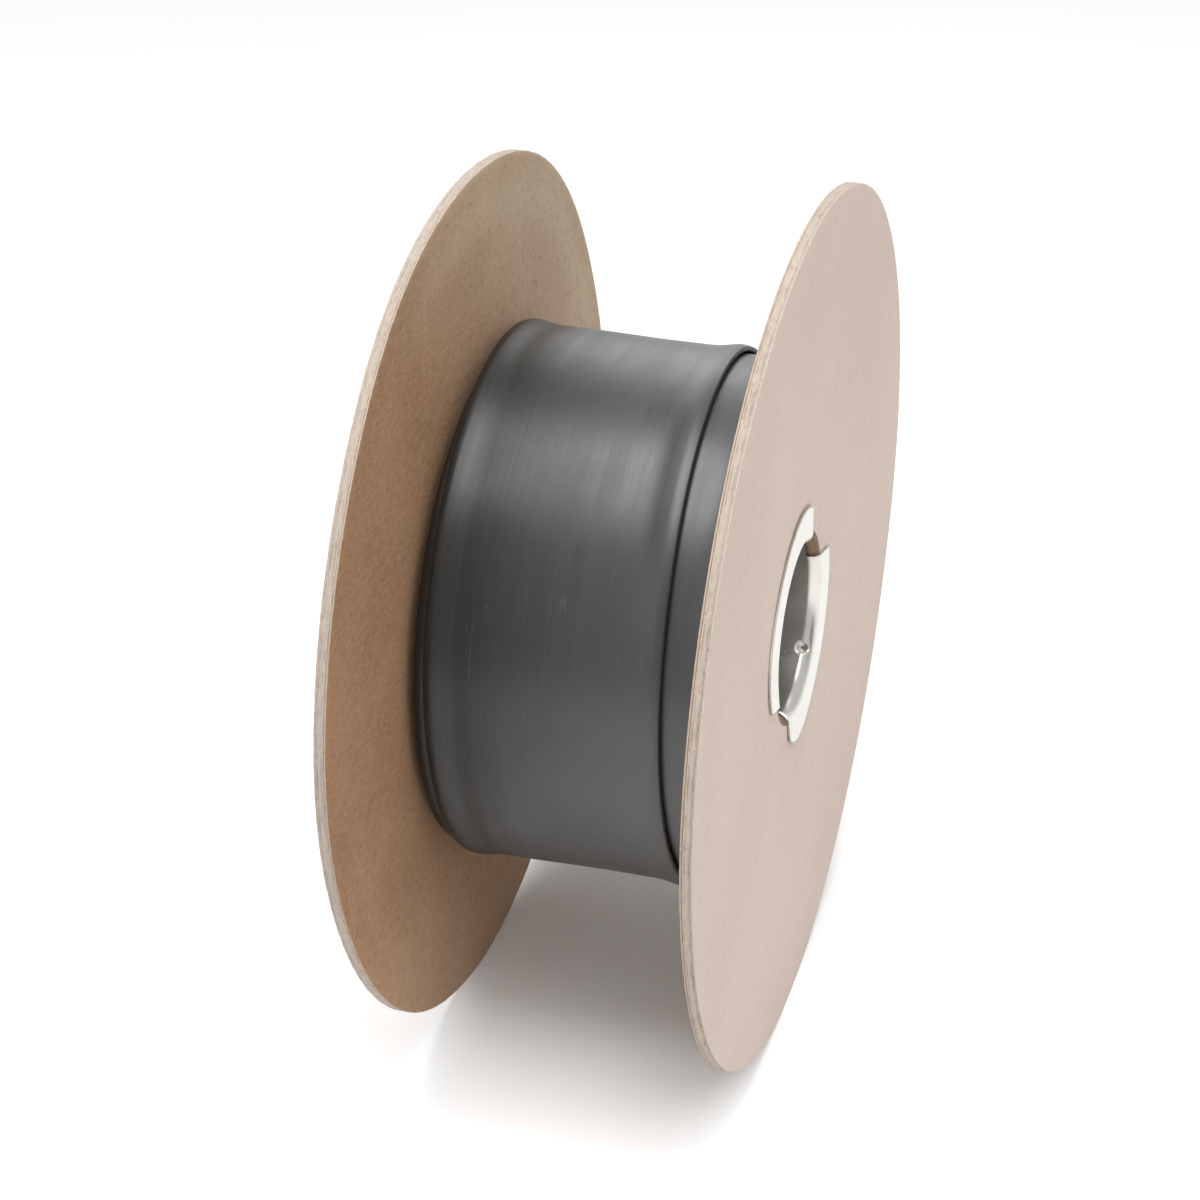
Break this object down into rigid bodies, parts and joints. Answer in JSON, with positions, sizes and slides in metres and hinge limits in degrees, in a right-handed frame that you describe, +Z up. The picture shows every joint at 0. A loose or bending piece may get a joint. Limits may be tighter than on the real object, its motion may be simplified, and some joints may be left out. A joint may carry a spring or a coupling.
{
  "type": "spool of lay-flat tubing",
  "caption": "Flanged fibreboard spool with a flared steel centre tube, carrying wide lay-flat plastic tubing wound on its drum.",
  "frame": {"origin": "on the axis of the bore, midway between the two flanges", "axes": "+Y along the bore, towards the front flange; +Z up, with the spool standing on its rims"},
  "size_m": [0.2032, 0.0808, 0.2032],
  "materials": {
    "outer_liner": "smooth pinkish-tan paper liner",
    "board": "rough cut fibreboard",
    "inner_liner": "matte brown kraft liner with fine fibres",
    "drum_board": "matte spirally wound kraft board",
    "tinplate": "bright tinplate, softly brushed",
    "tubing": "satin black polyolefin",
    "tape": "cream masking tape"
  },
  "bodies": {
    "root": {"front_outer_liner": "outer_liner", "front_board": "board", "front_inner_liner": "inner_liner", "back_outer_liner": "outer_liner", "back_board": "board", "back_inner_liner": "inner_liner", "drum_tube": "drum_board", "centre_tube": "tinplate", "tubing": "tubing", "start_tape": "tape", "tail_tape": "tape"}
  },
  "joints": []
}
